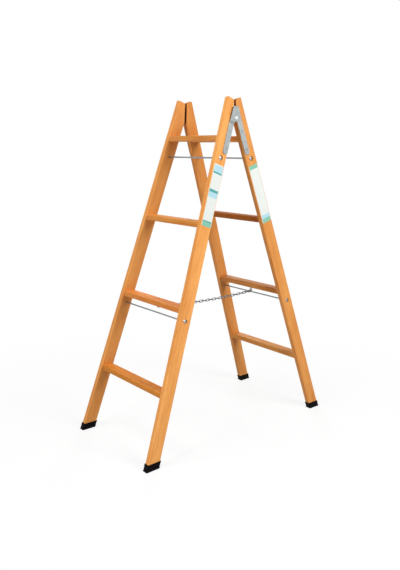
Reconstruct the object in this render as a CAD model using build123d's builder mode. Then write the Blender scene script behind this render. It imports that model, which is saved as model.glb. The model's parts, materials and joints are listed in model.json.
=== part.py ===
from build123d import *

import os
from math import atan, cos, degrees, radians, sin, sqrt, tan

# Wooden scissor stepladder: two tapered frames, strap hinges, tie rods, rubber shoes and a safety chain.
# Millimetres. The ladder stands open, Z is up and the origin is on the floor in its middle. X runs along
# the rungs and Y from the front frame to the rear frame. The front frame is modelled, with its right-hand
# pieces first, and the left-hand and rear pieces are its mirror images.

# Frames
lean_angle = 19.0  # of each frame from plumb, when open
frame_length = 1210.0  # up the frame, floor to stile top
floor_width = 424.0  # over the stiles, at the floor
top_width = 268.0  # over the stiles, at their tops
stile_depth = 45.0
stile_thickness = 18.0
stile_edge_radius = 2.0

# Rungs, level when the ladder stands open
rung_pitch = 280.0
first_rung_below_top = 126.0
least_first_step = 150.0  # floor to lowest rung, at least
rung_inset = 0.2  # of the rungs' corners from the stiles' edges
rung_thickness = 18.5
rung_edge_radius = 2.5
tenon_width = 28.0
tenon_thickness = 11.0
tenon_clearance = 0.1
mortise_cover = 5.0  # wood left outside the blind mortise
mortise_end_gap = 0.5

# Stile tops
pivot_below_top = 52.0
closed_gap = 1.6  # between the stiles of the folded frames
bevel_gap = 9.0  # between the plumb bevels when open

# Hinge straps and rivets
strap_width = 20.0
strap_thickness = 2.5
strap_inset = 1.5  # from the stile's inner edge
strap_tip_below_rung = 48.0
strap_tail_height = 36.0  # plumb, above the pivot
strap_tail_gap = 1.5  # between the two tails when open
strap_tail_radius = 4.0
ear_radius = 11.0
ear_margin = 3.0  # flat below the ear before the strap bends
ear_ramp = 9.0  # run of the crank that lifts the outer ear
ear_play = 0.6  # between the two ears
rivet_radius = 3.0
rivet_play = 0.05
rivet_head_radius = 6.5
rivet_head_height = 3.0
rivet_tail_clearance = 0.4  # to the bevels of the stiles
rivet_tail_height = 1.5
rivet_end_play = 0.2

# Strap screws
fastener_sides = 8  # small shanks and holes are drawn with few sides
screw_radius = 1.75
screw_play = 0.1
screw_head_radius = 4.0
screw_head_height = 2.0
screw_head_sides = 12
screw_cover = 4.0  # wood left beyond the screw's point

# Tie rods with a washer and a nut sunk in each outer face
rod_radius = 2.5
rod_play = 0.2
rod_stub = 0.4  # beyond the nut
thread_play = 0.05
upper_rod_below_rung = 64.0
lower_rod_below_rung = 35.0
rod_end_cover = 0.6  # from the rod's end to the stile's face
recess_play = 1.0
recess_sides = 16
washer_radius = 7.0
washer_thickness = 1.2
nut_across_flats = 8.0
nut_height = 3.2

# Rubber shoes
shoe_height = 24.0
shoe_wall = 2.3
shoe_play = 0.1
shoe_edge_radius = 2.0
sole_thickness = 5.0

# Safety chain and its two screw eyes
wire_size = 3.0
link_inner_width = 6.0
link_pitch_wanted = 16.0
link_play = 0.3
chain_sag = 8.2  # below the straight line between its ends
eye_bore_radius = 3.2
front_eye_neck = 0.5  # between the eye's ring and its rung
rear_eye_neck = 6.5
front_eye_set_back = 13.0  # of the front eye behind the middle of its rung
eye_shank_radius = 2.0
eye_cover = 4.0  # wood left above the eye's shank

# Values worked out from the sizes above
lean = radians(lean_angle)
taper = atan((floor_width - top_width) / 2 / frame_length)
rung_count = 1 + int((frame_length - first_rung_below_top - least_first_step) / rung_pitch)
rung_heights = [frame_length - first_rung_below_top - i * rung_pitch for i in range(rung_count)]
first_rung = rung_heights[0]
third_rung = rung_heights[2]
rung_width = (stile_depth - 2 * rung_inset - rung_thickness * sin(lean)) / cos(lean)
rod_heights = {"upper": first_rung - upper_rod_below_rung, "lower": third_rung - lower_rod_below_rung}
recess_radius = washer_radius + recess_play
recess_depth = washer_thickness + nut_height + rod_stub + rod_end_cover
pivot_height = frame_length - pivot_below_top  # up the frame
pivot_depth = stile_depth / 2 + closed_gap / 2  # behind the middle of the frame
foot_reach = pivot_height * sin(lean) + pivot_depth * cos(lean)
pivot_z = pivot_height * cos(lean) - pivot_depth * sin(lean)
overrun = stile_depth  # boards run on below the floor before they are cut level

# The front frame's own plane: x along the rungs, y up the stiles, z out of its front
front_frame = Plane(origin=(0, -foot_reach, 0), x_dir=(1, 0, 0), z_dir=(0, -cos(lean), sin(lean)))


def outer_x(height):
    """Half the width over the stiles at a height up the frame."""
    return floor_width / 2 - height * tan(taper)


def frame_point(x, height, depth=0.0):
    """Point of the front frame, depth being behind its middle."""
    return front_frame.from_local_coords(Vector(x, height, -depth))


def across(x, height, depth=0.0):
    """Plane square to the rungs: x runs level to the rear, y is plumb, z points right."""
    return Plane(origin=frame_point(x, height, depth), x_dir=(0, 1, 0), z_dir=(1, 0, 0))


def on_outer_face(height, depth=0.0, lift=0.0):
    """Plane on the right stile's outer face, or lifted off it: x towards the rear, y up the stile."""
    up, right = front_frame.y_dir, front_frame.x_dir
    outward = right * cos(taper) + up * sin(taper)
    origin = frame_point(outer_x(height), height, depth) + outward * lift
    return Plane(origin=origin, x_dir=front_frame.z_dir * -1, z_dir=outward)


def mirrored(part, plane):
    """The same piece on the other side of a plane."""
    with BuildPart() as copy:
        mirror(part, about=plane)
    return copy.part


def save(part, name):
    """Label a finished piece and write it."""
    part.label = name
    export_step(part, f"parts/{name}.step")


def small_round(radius, mode=Mode.ADD):
    """A shank or hole of a small fastener, drawn as the polygon round its circle."""
    RegularPolygon(radius, fastener_sides, major_radius=False, mode=mode)


def stile_board(margin):
    """The right stile as a plain board, grown by a margin and run on below the floor."""
    with BuildPart() as board:
        with BuildSketch(front_frame):
            with Locations((outer_x(-overrun) + margin / cos(taper), -overrun)):
                Rectangle(
                    stile_thickness + 2 * margin,
                    (frame_length + overrun) / cos(taper),
                    rotation=degrees(taper),
                    align=(Align.MAX, Align.MIN),
                )
        extrude(amount=stile_depth / 2 + margin, both=True)
    return board.part


along_stile = Axis((0, 0, 0), on_outer_face(0).y_dir)
sole_plane = Plane.XY.offset(sole_thickness)
screw_depth = stile_thickness - screw_cover

# Right stile: mortises inside, rod holes with sunk ends, screw holes, plumb bevel at the top
strap_tip = first_rung - strap_tip_below_rung
strap_depth = stile_depth / 2 - strap_inset - strap_width / 2  # middle of the strap behind the frame's middle
ear_bottom = pivot_height - ear_radius - ear_margin
crank_bottom = ear_bottom - ear_ramp
mortise_reach = (tenon_width * sin(lean) + tenon_thickness * cos(lean)) / 2  # up and down the frame
screw_heights = [
    (crank_bottom + first_rung + mortise_reach) / 2,
    (strap_tip + first_rung - mortise_reach) / 2,
]
screw_planes = [on_outer_face(height, strap_depth) for height in screw_heights]


def mortise_floor(height):
    """How far across the frame a mortise at this height reaches."""
    return outer_x(height) - mortise_cover


def recess_floor(height):
    """How far across the frame the seat of a tie rod's washer is."""
    return outer_x(height) - recess_depth


with BuildPart() as right_stile:
    add(stile_board(0))
    fillet(right_stile.edges().filter_by(along_stile), stile_edge_radius)
    split(bisect_by=sole_plane, keep=Keep.TOP)
    split(bisect_by=Plane.XZ.offset(bevel_gap / 2), keep=Keep.TOP)
    for height in rung_heights:
        with BuildSketch(across(mortise_floor(height), height)):
            Rectangle(tenon_width + 2 * tenon_clearance, tenon_thickness + 2 * tenon_clearance)
        extrude(amount=-2 * stile_thickness, mode=Mode.SUBTRACT)
    for height in rod_heights.values():
        with BuildSketch(across(recess_floor(height), height)):
            RegularPolygon(recess_radius, recess_sides)
        extrude(amount=2 * recess_depth, mode=Mode.SUBTRACT)
        with BuildSketch(across(recess_floor(height), height)):
            small_round(rod_radius + rod_play)
        extrude(amount=-2 * stile_thickness, mode=Mode.SUBTRACT)
    for plane in screw_planes:
        with BuildSketch(plane):
            small_round(screw_radius + screw_play)
        extrude(amount=-screw_depth - screw_play, mode=Mode.SUBTRACT)

# Rungs: level boards with rounded edges, shouldered on the stiles and tenoned into them
right_shoulder = on_outer_face(0, lift=-stile_thickness)
left_shoulder = Plane(
    origin=(-right_shoulder.origin.X, right_shoulder.origin.Y, right_shoulder.origin.Z),
    x_dir=right_shoulder.x_dir,
    z_dir=(-right_shoulder.z_dir.X, right_shoulder.z_dir.Y, right_shoulder.z_dir.Z),
)
eye_shank_length = rung_thickness - eye_cover


def rung_board(height):
    """A rung at a height up the frame."""
    with BuildPart() as rung:
        with BuildSketch(across(0, height)):
            RectangleRounded(rung_width, rung_thickness, rung_edge_radius)
        extrude(amount=floor_width / 2, both=True)
        split(bisect_by=right_shoulder, keep=Keep.BOTTOM)
        split(bisect_by=left_shoulder, keep=Keep.BOTTOM)
        with BuildSketch(across(0, height)):
            Rectangle(tenon_width, tenon_thickness)
        extrude(amount=mortise_floor(height) - mortise_end_gap, both=True)
    return rung.part


def bored_rung(height, set_back):
    """A rung with a hole for a screw eye in its underside, set back from the middle."""
    middle = frame_point(0, height)
    with BuildPart() as rung:
        add(rung_board(height))
        with BuildSketch(Plane.XY.offset(middle.Z - rung_thickness / 2)):
            with Locations((0, middle.Y + set_back)):
                small_round(eye_shank_radius)
        extrude(amount=eye_shank_length, mode=Mode.SUBTRACT)
    return rung.part


front_rungs = [rung_board(height) for height in rung_heights]
rear_rungs = [mirrored(rung, Plane.XZ) for rung in front_rungs]
front_rungs[2] = bored_rung(third_rung, front_eye_set_back)
rear_rungs[2] = mirrored(bored_rung(third_rung, 0), Plane.XZ)

# Tie rods, each with a washer and a nut at both ends
rods = {}
for place, height in rod_heights.items():
    rod_end = recess_floor(height) + washer_thickness + nut_height + rod_stub
    with BuildPart() as rod:
        with BuildSketch(across(0, height)):
            Circle(rod_radius)
        extrude(amount=rod_end, both=True)
    rods[place] = rod.part

with BuildPart() as washers:
    for height in rod_heights.values():
        with BuildSketch(across(recess_floor(height), height)):
            RegularPolygon(washer_radius, recess_sides)
            small_round(rod_radius + rod_play, mode=Mode.SUBTRACT)
        extrude(amount=washer_thickness)
    mirror(about=Plane.YZ)

with BuildPart() as nuts:
    for height in rod_heights.values():
        with BuildSketch(across(recess_floor(height) + washer_thickness, height)):
            RegularPolygon(nut_across_flats / 2, 6, major_radius=False)
            small_round(rod_radius + thread_play, mode=Mode.SUBTRACT)
        extrude(amount=nut_height)
    mirror(about=Plane.YZ)

# Right shoe: a rubber cap that follows the stile, level at its rim and its sole
with BuildPart() as socket:
    add(stile_board(shoe_play))
    split(bisect_by=sole_plane, keep=Keep.TOP)

with BuildPart() as right_shoe:
    add(stile_board(shoe_wall))
    fillet(right_shoe.edges().filter_by(along_stile), shoe_edge_radius)
    split(bisect_by=Plane.XY, keep=Keep.TOP)
    split(bisect_by=Plane.XY.offset(shoe_height), keep=Keep.BOTTOM)
    add(socket.part, mode=Mode.SUBTRACT)


# Hinge straps: a leg on the stile's outer face, then an ear and a tail square to the pivot
ear_x = outer_x(ear_bottom)  # inner side of the ear that lies nearest the wood


def hinge_strap(ear_lift, ear_bore):
    """The right strap of the front frame, with its ear raised off the stile by a crank."""
    top_height = pivot_height + strap_tail_height / cos(lean) + ear_radius
    along_side = Plane(
        origin=frame_point(0, pivot_height, strap_depth),
        x_dir=front_frame.z_dir * -1,
        z_dir=front_frame.x_dir,
    )
    with BuildPart() as strap:
        with BuildSketch(front_frame):
            with BuildLine():
                inside = Polyline(
                    (outer_x(strap_tip - strap_width), strap_tip - strap_width),
                    (outer_x(crank_bottom), crank_bottom),
                    (ear_x + ear_lift, ear_bottom),
                    (ear_x + ear_lift, top_height),
                )
                offset(inside, amount=strap_thickness, side=Side.RIGHT)
            make_face()
        extrude(amount=stile_depth, both=True)
        with BuildSketch(along_side):
            with Locations((0, strap_tip + strap_width / 2 - pivot_height)):
                Circle(strap_width / 2)
                Rectangle(strap_width, frame_length, align=(Align.CENTER, Align.MIN))
        extrude(amount=floor_width, mode=Mode.INTERSECT)
        split(bisect_by=Plane.XZ.offset(strap_tail_gap / 2), keep=Keep.TOP)
        split(bisect_by=Plane.XY.offset(pivot_z + strap_tail_height), keep=Keep.BOTTOM)
        fillet(strap.edges().filter_by(Axis.X).group_by(Axis.Z)[-1], strap_tail_radius)
        ear_plane = across(ear_x + ear_lift, pivot_height, pivot_depth)
        with BuildSketch(ear_plane):
            Circle(ear_radius)
        extrude(amount=strap_thickness)
        with BuildSketch(ear_plane):
            Circle(ear_bore)
        extrude(amount=strap_thickness, mode=Mode.SUBTRACT)
        for plane in screw_planes:
            with BuildSketch(plane):
                small_round(screw_radius + screw_play)
            extrude(amount=2 * strap_thickness, mode=Mode.SUBTRACT)
    return strap.part


outer_ear_lift = strap_thickness + ear_play
front_strap = hinge_strap(outer_ear_lift, rivet_radius)
rear_strap = mirrored(hinge_strap(0, rivet_radius + rivet_play), Plane.XZ)

# Hinge rivets: a domed head outside the outer ear, a small tail between the bevels of the stiles
rivet_seat = ear_x + outer_ear_lift + strap_thickness
dome = [
    (rivet_seat + rivet_head_height * sin(radians(angle)), rivet_head_radius * cos(radians(angle)))
    for angle in (0, 35, 70)
]
rivet_tail = ear_x - rivet_end_play
rivet_tail_radius = bevel_gap / 2 - rivet_tail_clearance
with BuildPart() as rivets:
    with BuildSketch(Plane(origin=(0, 0, pivot_z), x_dir=(1, 0, 0), z_dir=(0, -1, 0))):
        with BuildLine():
            Polyline(
                (rivet_tail - rivet_tail_height, 0),
                (rivet_tail - rivet_tail_height, rivet_tail_radius),
                (rivet_tail, rivet_tail_radius),
                (rivet_tail, rivet_radius),
                (rivet_seat, rivet_radius),
                *dome,
                (dome[-1][0], 0),
                close=True,
            )
        make_face()
    revolve(axis=Axis((0, 0, pivot_z), (1, 0, 0)))
    mirror(about=Plane.YZ)

# Strap screws: a low domed head and a plain shank
with BuildPart() as screw:
    with BuildSketch(Plane.XY.offset(strap_thickness)):
        RegularPolygon(screw_head_radius, screw_head_sides)
    extrude(amount=screw_head_height)
    chamfer(screw.faces().sort_by(Axis.Z)[-1].edges(), screw_head_height / 2)
    with BuildSketch(Plane.XY.offset(strap_thickness)):
        small_round(screw_radius)
    extrude(amount=-strap_thickness - screw_depth)

with BuildPart() as front_screws:
    with Locations(*screw_planes):
        add(screw.part)
    mirror(about=Plane.YZ)

# Screw eyes under the third rungs, square to the chain
wire_radius = wire_size / 2
eye_radius = eye_bore_radius + wire_radius  # of the wire's middle
contact = wire_size + link_play  # between the middles of two wires that hook into each other
wire_chamfer = wire_size * (1 - 1 / sqrt(2))  # makes square wire eight-sided
third_rung_middle = frame_point(0, third_rung)
rung_underside = third_rung_middle.Z - rung_thickness / 2
ring_drop = wire_radius + eye_radius  # from the top of a ring to its middle


def screw_eye(middle):
    """A ring of wire on a shank that is screwed up into a rung."""
    ring_plane = Plane(origin=middle, x_dir=(1, 0, 0), z_dir=(0, -1, 0))
    with BuildPart() as eye:
        with BuildSketch(ring_plane):
            RegularPolygon(eye_bore_radius + wire_size, 12, major_radius=False)
            RegularPolygon(eye_bore_radius, 12, major_radius=False, mode=Mode.SUBTRACT)
        extrude(amount=wire_radius, both=True)
        chamfer(eye.edges().filter_by(Axis.Y, reverse=True), wire_chamfer)
        ring_top = middle.Z + eye_radius
        with BuildSketch(Plane.XY.offset(ring_top)):
            with Locations((0, middle.Y)):
                small_round(eye_shank_radius)
        extrude(amount=rung_underside + eye_shank_length - ring_top)
    return eye.part


front_eye_y = third_rung_middle.Y + front_eye_set_back
front_eye_middle = Vector(0, front_eye_y, rung_underside - front_eye_neck - ring_drop)
rear_eye_middle = Vector(0, -third_rung_middle.Y, rung_underside - rear_eye_neck - ring_drop)
front_eye = screw_eye(front_eye_middle)
rear_eye = screw_eye(rear_eye_middle)

# Chain: links hang at slopes that grow evenly from the lowest point, as in any hanging chain
chain_start = front_eye_middle + Vector(0, -contact / 2, -eye_radius)
chain_end = rear_eye_middle + Vector(0, contact / 2, -eye_radius)
span = chain_end.Y - chain_start.Y
rear_links = round(span / link_pitch_wanted / 2)
front_links = rear_links + 1  # an odd number in all, so that both end links stand upright
link_count = front_links + rear_links
slope_step = 8 * chain_sag / span / link_count
mean_slope = (chain_end.Z - chain_start.Z) / span
slopes = [atan(mean_slope + (i - (link_count - 1) / 2) * slope_step) for i in range(link_count)]
link_pitch = span / sum(cos(slope) for slope in slopes)
link_length = link_pitch + contact + wire_size  # over the wire
link_width = link_inner_width + 2 * wire_size

with BuildPart() as link:
    end_shift = (link_length - link_width) / 2
    with BuildSketch():
        with Locations((-end_shift, 0), (end_shift, 0)):
            RegularPolygon(link_width / 2, 8, major_radius=False, rotation=22.5)
        make_hull()
        with BuildSketch(mode=Mode.SUBTRACT):
            with Locations((-end_shift, 0), (end_shift, 0)):
                RegularPolygon(link_inner_width / 2, 8, major_radius=False, rotation=22.5)
            make_hull()
    extrude(amount=wire_radius, both=True)
    chamfer(link.edges().filter_by(Axis.Z, reverse=True), wire_chamfer)

link_planes = []
knuckle = chain_start
for i, slope in enumerate(slopes):
    along = Vector(0, cos(slope), sin(slope))
    upward = Vector(0, -sin(slope), cos(slope))
    face = Vector(1, 0, 0) if i % 2 == 0 else upward
    link_planes.append(Plane(origin=knuckle + along * (link_pitch / 2), x_dir=along, z_dir=face))
    knuckle = knuckle + along * link_pitch

chains = {}
for half, planes in (("front", link_planes[:front_links]), ("rear", link_planes[front_links:])):
    with BuildPart() as chain:
        with Locations(*planes):
            add(link.part)
    chains[half] = chain.part

print(f"chain of {link_count} links, pitch {link_pitch:.2f}, length {link_count * link_pitch:.1f}")

# Write every piece, the left-hand and rear ones as mirror images
os.makedirs("parts", exist_ok=True)
front_pieces = {
    "stile_right": right_stile.part,
    "stile_left": mirrored(right_stile.part, Plane.YZ),
    "foot_right": right_shoe.part,
    "foot_left": mirrored(right_shoe.part, Plane.YZ),
    "tie_rod_upper": rods["upper"],
    "tie_rod_lower": rods["lower"],
    "tie_rod_washers": washers.part,
    "tie_rod_nuts": nuts.part,
    "strap_screws": front_screws.part,
}
for name, piece in front_pieces.items():
    save(piece, f"front_{name}")
    save(mirrored(piece, Plane.XZ), f"rear_{name}")
for frame, rungs in (("front", front_rungs), ("rear", rear_rungs)):
    for number, piece in enumerate(rungs, start=1):
        save(piece, f"{frame}_rung_{number}")

for frame, strap in (("front", front_strap), ("rear", rear_strap)):
    save(strap, f"{frame}_hinge_strap_right")
    save(mirrored(strap, Plane.YZ), f"{frame}_hinge_strap_left")
save(rivets.part, "hinge_rivets")
save(front_eye, "front_chain_eye")
save(rear_eye, "rear_chain_eye")
save(chains["front"], "front_chain_links")
save(chains["rear"], "rear_chain_links")
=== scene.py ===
import json
from math import atan, cos, pi, radians, sin, sqrt, tan, tau

import bmesh
import bpy
from bmesh.types import BMEdge, BMFace, BMVert
from bpy.props import FloatProperty, FloatVectorProperty, PointerProperty
from mathutils import Euler, Matrix, Vector


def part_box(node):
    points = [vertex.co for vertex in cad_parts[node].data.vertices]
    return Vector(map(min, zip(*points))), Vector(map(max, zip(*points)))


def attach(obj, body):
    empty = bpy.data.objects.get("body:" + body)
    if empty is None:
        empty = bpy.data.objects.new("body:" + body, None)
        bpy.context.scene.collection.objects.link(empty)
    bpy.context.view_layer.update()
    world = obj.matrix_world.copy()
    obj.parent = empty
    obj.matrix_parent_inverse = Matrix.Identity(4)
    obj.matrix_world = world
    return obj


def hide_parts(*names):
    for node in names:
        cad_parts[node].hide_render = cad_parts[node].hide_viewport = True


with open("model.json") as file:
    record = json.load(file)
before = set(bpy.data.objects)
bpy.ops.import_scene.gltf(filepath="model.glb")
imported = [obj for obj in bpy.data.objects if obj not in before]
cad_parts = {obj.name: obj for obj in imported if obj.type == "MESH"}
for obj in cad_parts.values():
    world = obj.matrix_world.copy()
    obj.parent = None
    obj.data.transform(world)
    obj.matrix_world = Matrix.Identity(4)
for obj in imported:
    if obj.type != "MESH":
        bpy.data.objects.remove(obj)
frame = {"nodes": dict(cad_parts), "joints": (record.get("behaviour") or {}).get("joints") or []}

bl_info = {
    "name": "Wooden stepladder",
    "version": (1, 0, 0),
    "blender": (4, 5, 0),
    "location": "3D View > Sidebar > Stepladder",
    "description": "Dresses the stepladder's frame with wood, steel, rubber and a welded chain",
    "category": "Object",
}

# The two frames, in metres: Z is up, X runs along the rungs, the front frame stands at -Y
LEAN = radians(19)
FRAME_LENGTH = 1.210
FLOOR_WIDTH = 0.424
TOP_WIDTH = 0.268
STILE_DEPTH = 0.045
STILE_THICKNESS = 0.018
PIVOT_BELOW_TOP = 0.052
CLOSED_GAP = 0.0016
RUNG_THICKNESS = 0.0185
RUNG_HEIGHTS = (1.084, 0.804, 0.524, 0.244)

TAPER = atan((FLOOR_WIDTH - TOP_WIDTH) / 2 / FRAME_LENGTH)
UP = Vector((0, sin(LEAN), cos(LEAN)))
OUT = Vector((0, -cos(LEAN), sin(LEAN)))
ACROSS = Vector((1, 0, 0))
PIVOT_HEIGHT = FRAME_LENGTH - PIVOT_BELOW_TOP
PIVOT_DEPTH = (STILE_DEPTH + CLOSED_GAP) / 2
FOOT_REACH = PIVOT_HEIGHT * sin(LEAN) + PIVOT_DEPTH * cos(LEAN)
STILE_UP = UP * cos(TAPER) - ACROSS * sin(TAPER)
STILE_OUTWARD = ACROSS * cos(TAPER) + UP * sin(TAPER)

# Pieces are laid out for the front frame's right side and mirrored from there
FRAMES = {"front": Matrix.Identity(4), "rear": Matrix.Diagonal((1, -1, 1, 1))}
SIDES = {"right": Matrix.Identity(4), "left": Matrix.Diagonal((-1, 1, 1, 1))}

# Board tones: 1 is the plain wood, lower is darker and warmer. The fall is for red, green and blue
TONE_FALL = (0.0, 0.2, 0.5)
STILE_TONE = 1.0
RUNG_TONE = 0.80
BOARD_TONES_AND_SHADE = {
    "front_stile_right": 1.10,
    "rear_stile_left": 0.95,
    "rear_stile_right": 0.95,
    "front_rung_1": 0.86,
    "front_rung_2": 0.94,
    # Painted shade: the rear third rung is darkened for the shade it lies in behind the front frame
    "rear_rung_3": 0.66,
}

# Boards of another hue, or with painted shade, have a stain instead, as shares of the wood's red, green
# and blue
BOARD_STAINS_AND_SHADE = {
    "front_rung_3": (0.91, 0.78, 0.73),
    "front_rung_4": (0.80, 0.68, 0.43),
    # Painted shade: the rear second rung's dark stain stands in for the shade it lies in behind the
    # front frame
    "rear_rung_2": (0.585, 0.45, 0.375),
    "rear_rung_4": (0.82, 0.85, 0.84),
}

# What lightens all rungs alike, and the sheen of the lacquer
RUNG_GAIN = 1.09
SHEEN = 0.2
DULL_SHEEN = 0.05
DULL_BOARDS = ("front_rung_2", "front_rung_3", "front_rung_4", "rear_rung_2")

# Rubber shoes: the steps are (rise, spread) from the sole's edge up to the rim
SHOE_HEIGHT = 0.024
SOLE_THICKNESS = 0.005
SHOE_WALL = 0.0023
SHOE_CORNER = 0.0024
SHOE_EASE = 0.0008
SOCKET_PLAY = 0.0001
SHOE_STEPS = (
    (0.0008, SHOE_EASE),
    (0.0032, 0.0),
    (0.0008, -0.0005),
    (0.0132, 0.0),
    (0.0008, 0.0005),
    (0.0044, 0.0),
    (0.0008, -SHOE_EASE),
)

# Hinge straps, their screws with the cross recess in shares of the head, and the rivets
STRAP_THICKNESS = 0.0025
STRAP_MIDDLE = 0.011
STRAP_HOLE = 0.010
STRAP_FLAT_AREA = 0.00001
SCREW_HEIGHTS = (1.1119, 1.0549)
SCREW_SHANK = 0.0017
SCREW_POINT = -0.010
SCREW_TIP = -0.014
HEAD_ROUNDING = 0.85
CROSS_ARM = 0.52
CROSS_HALF_SLOT = 0.13
CROSS_SINK = 0.6
CROSS_NARROWING = 0.8
EAR_LIFT = 0.0031
EAR_REACH = 0.014
RIVET_SHANK = 0.003
RIVET_HEAD_WALL = 0.0003
RIVET_TAIL_RADIUS = 0.0041
RIVET_TAIL_HEIGHT = 0.0015
RIVET_TAIL_ROUNDING = 0.0009
RIVET_TAIL_SINK = 0.0002
RIVET_ROUGHNESS = 0.16

# Tie rods with the washers and nuts in their recesses
ROD_HEIGHTS = (1.020, 0.489)
ROD_RADIUS = 0.0025
ROD_DULLING = (0.47, 0.50, 0.53)
ROD_ROUGHNESS = 0.22
RECESS_DEPTH = 0.0054
WASHER_PLAY = 0.0002
WASHER_ROUNDING = 0.35
NUT_PLAY = 0.00005
NUT_CHAMFER = 0.00035
NUT_FACE = 0.49
NUT_ROUGHNESS = 0.24

# Screw eyes and the chain: the weld's steps are (share of the straight run, swelling)
EYE_RADIUS = 0.0047
EYE_NECKS = {"front": 0.0005, "rear": 0.0065}
EYE_SET_BACK = {"front": 0.013, "rear": 0.0}
EYE_SHANK = 0.0145
COLLAR_RADIUS = 0.0019
COLLAR_LENGTH = 0.0022
THREAD_CREST = 0.0020
THREAD_ROOT = 0.0016
THREAD_PITCH = 0.0014
UNTHREADED = 0.004
CHAIN_RUNG = 2
CHAIN_SAG = 0.0082
CHAIN_ROUGHNESS = 0.20
LINK_COUNT = 29
FRONT_LINKS = 15
LINK_HALF_GAP = 0.0023
LINK_PLAY = 0.0003
WELD_STEPS = ((0.36, 1.0), (0.10, 1.2), (0.08, 1.0), (0.10, 1 / 1.2), (0.36, 1.0))

# Labels: bands from the top down, as (start, setting of the colour)
LABEL_HEIGHT = 0.898
LABEL_CORNER = 0.003
LABEL_LIFT = 0.00004
LABEL_MARGIN = 0.0016
LABEL_BLUR = 0.0003
LABEL_AGED = (196, 190, 172)
LABEL_BANDS = {
    "front": (
        (0.0, "label_white"),
        (0.015, "label_blue"),
        (0.12, "label_teal"),
        (0.145, "label_white"),
        (0.40, "label_teal"),
        (0.445, "label_blue"),
        (0.53, "label_white"),
        (0.905, "label_teal"),
        (0.925, "label_green"),
    ),
    "rear": (
        (0.0, "label_green"),
        (0.065, "label_white"),
        (0.86, "label_blue"),
        (0.925, "label_green"),
    ),
}

# Stage: lamps are (name, degrees round from the front, degrees up, size, power, seen in gloss)
FLOOR_RADIUS = 30
SKY_LIGHT = 0.04
LAMP_AIM = Vector((0.0, 0.0, 0.55))
LAMP_DISTANCE = 3.0
LAMPS = (
    ("side lamp", 100, 29, 1.5, 78, True),
    ("top lamp", -8, 66, 1.2, 52, True),
    ("low front lamp", 8, 5, 0.35, 26, True),
    ("back lamp", -128, 10, 1.5, 60, False),
)

# The photograph's camera: lengths on the image in pixels, turns as (yaw, pitch, roll)
IMAGE_WIDTH = 400
IMAGE_HEIGHT = 570
FOCAL_PIXELS = 596.21
PRINCIPAL_X = 223.80
PRINCIPAL_Y = 337.56
CAMERA_PLACE = Vector((1.62703, -1.37712, 0.97274))
CAMERA_TURNS = (radians(47.962), radians(-16.986), radians(0.928))

# Angles that count as sharp or flat, a slope that counts as up, and distances that count as none
SHARP = radians(35)
STRAP_SHARP = radians(50)
FLAT = radians(1)
LOOKS_UP = 0.9
NEAR = 1e-6
SAME = 1e-7


def linear(value):
    """One channel of a colour as picked on screen, from 0 to 255, made linear."""
    share = value / 255
    if value > 10:
        return ((share + 0.055) / 1.055) ** 2.4
    return share / 12.92


def colour(red, green, blue):
    """A colour as picked on screen, made linear."""
    return linear(red), linear(green), linear(blue)


def shaded(tint, factor):
    """A colour, darkened or lightened."""
    return tuple(min(1.0, v * factor) for v in tint)


def stained(tint, stain):
    """A colour, multiplied channel by channel."""
    return tuple(v * share for v, share in zip(tint, stain))


def board_stain_and_shade(node, usual_tone, gain=1.0):
    """A board's shares of the wood's red, green and blue, with painted shade on the darkened rear
    rungs.
    """
    tone = BOARD_TONES_AND_SHADE.get(node, usual_tone)
    toned = [tone * (1 - fall * (1 - tone)) for fall in TONE_FALL]
    return [share * gain for share in BOARD_STAINS_AND_SHADE.get(node, toned)]


def outer_x(height):
    """Half the width over the stiles at a height up the frame."""
    return FLOOR_WIDTH / 2 - height * tan(TAPER)


def frame_point(x, height, depth=0.0):
    """Point of the front frame, depth being behind its middle."""
    return Vector((x, -FOOT_REACH, 0)) + UP * height - OUT * depth


def placement(x_axis, y_axis, z_axis, origin):
    """Matrix with these axes and this origin."""
    turned_to = Matrix((x_axis, y_axis, z_axis)).transposed().to_4x4()
    return Matrix.Translation(origin) @ turned_to


def on_outer_face(height, depth=0.0):
    """Place on the front right stile's outer face: x to the rear, y up the stile, z outwards."""
    origin = frame_point(outer_x(height), height, depth)
    return placement(-OUT, STILE_UP, STILE_OUTWARD, origin)


def along_rungs(origin):
    """Place whose z axis points right, along the rungs."""
    return placement((0, 1, 0), (0, 0, 1), (1, 0, 0), origin)


def colour_setting(name, description, *shade):
    """A colour setting, its default as picked on screen."""
    return FloatVectorProperty(
        name=name, description=description, subtype="COLOR", min=0, max=1, default=colour(*shade)
    )


def length_setting(name, description, default, precision=5, **limits):
    """A length setting in metres."""
    return FloatProperty(
        name=name,
        description=description,
        unit="LENGTH",
        default=default,
        precision=precision,
        **limits,
    )


class FinishSettings(bpy.types.PropertyGroup):
    """Colours and finishes of the ladder."""

    wood_light: colour_setting("Light wood", "Lacquered wood between the growth lines", 237, 166, 90)
    wood_dark: colour_setting("Dark wood", "Lacquered wood in the growth lines", 203, 120, 50)
    wood_fleck: colour_setting("Wood flecks", "Short dark flecks along the grain", 142, 70, 22)
    ring_width: length_setting(
        "Ring width", "Spacing of the growth rings", 0.0042, precision=4, min=0.001
    )
    lacquer_roughness: FloatProperty(
        name="Lacquer roughness",
        description="0 is a mirror, 1 is matt",
        subtype="FACTOR",
        min=0,
        max=1,
        default=0.46,
    )
    galvanised: colour_setting("Galvanised steel", "Hinge straps and their screws", 140, 144, 144)
    zinc: colour_setting("Bright zinc", "Rivets, tie rods, washers and nuts", 212, 215, 217)
    chain: colour_setting("Chain steel", "Chain links and screw eyes", 126, 128, 130)
    rubber: colour_setting("Rubber", "Moulded shoes", 6, 4, 5)
    label_white: colour_setting("Label film", "Bare film of the labels", 226, 231, 226)
    label_teal: colour_setting("Label rules", "Narrow rules on the labels", 70, 160, 160)
    label_green: colour_setting("Label ends", "Bands at the labels' ends", 126, 190, 166)
    label_blue: colour_setting("Label head", "Pale bands on the labels", 176, 216, 228)


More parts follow.
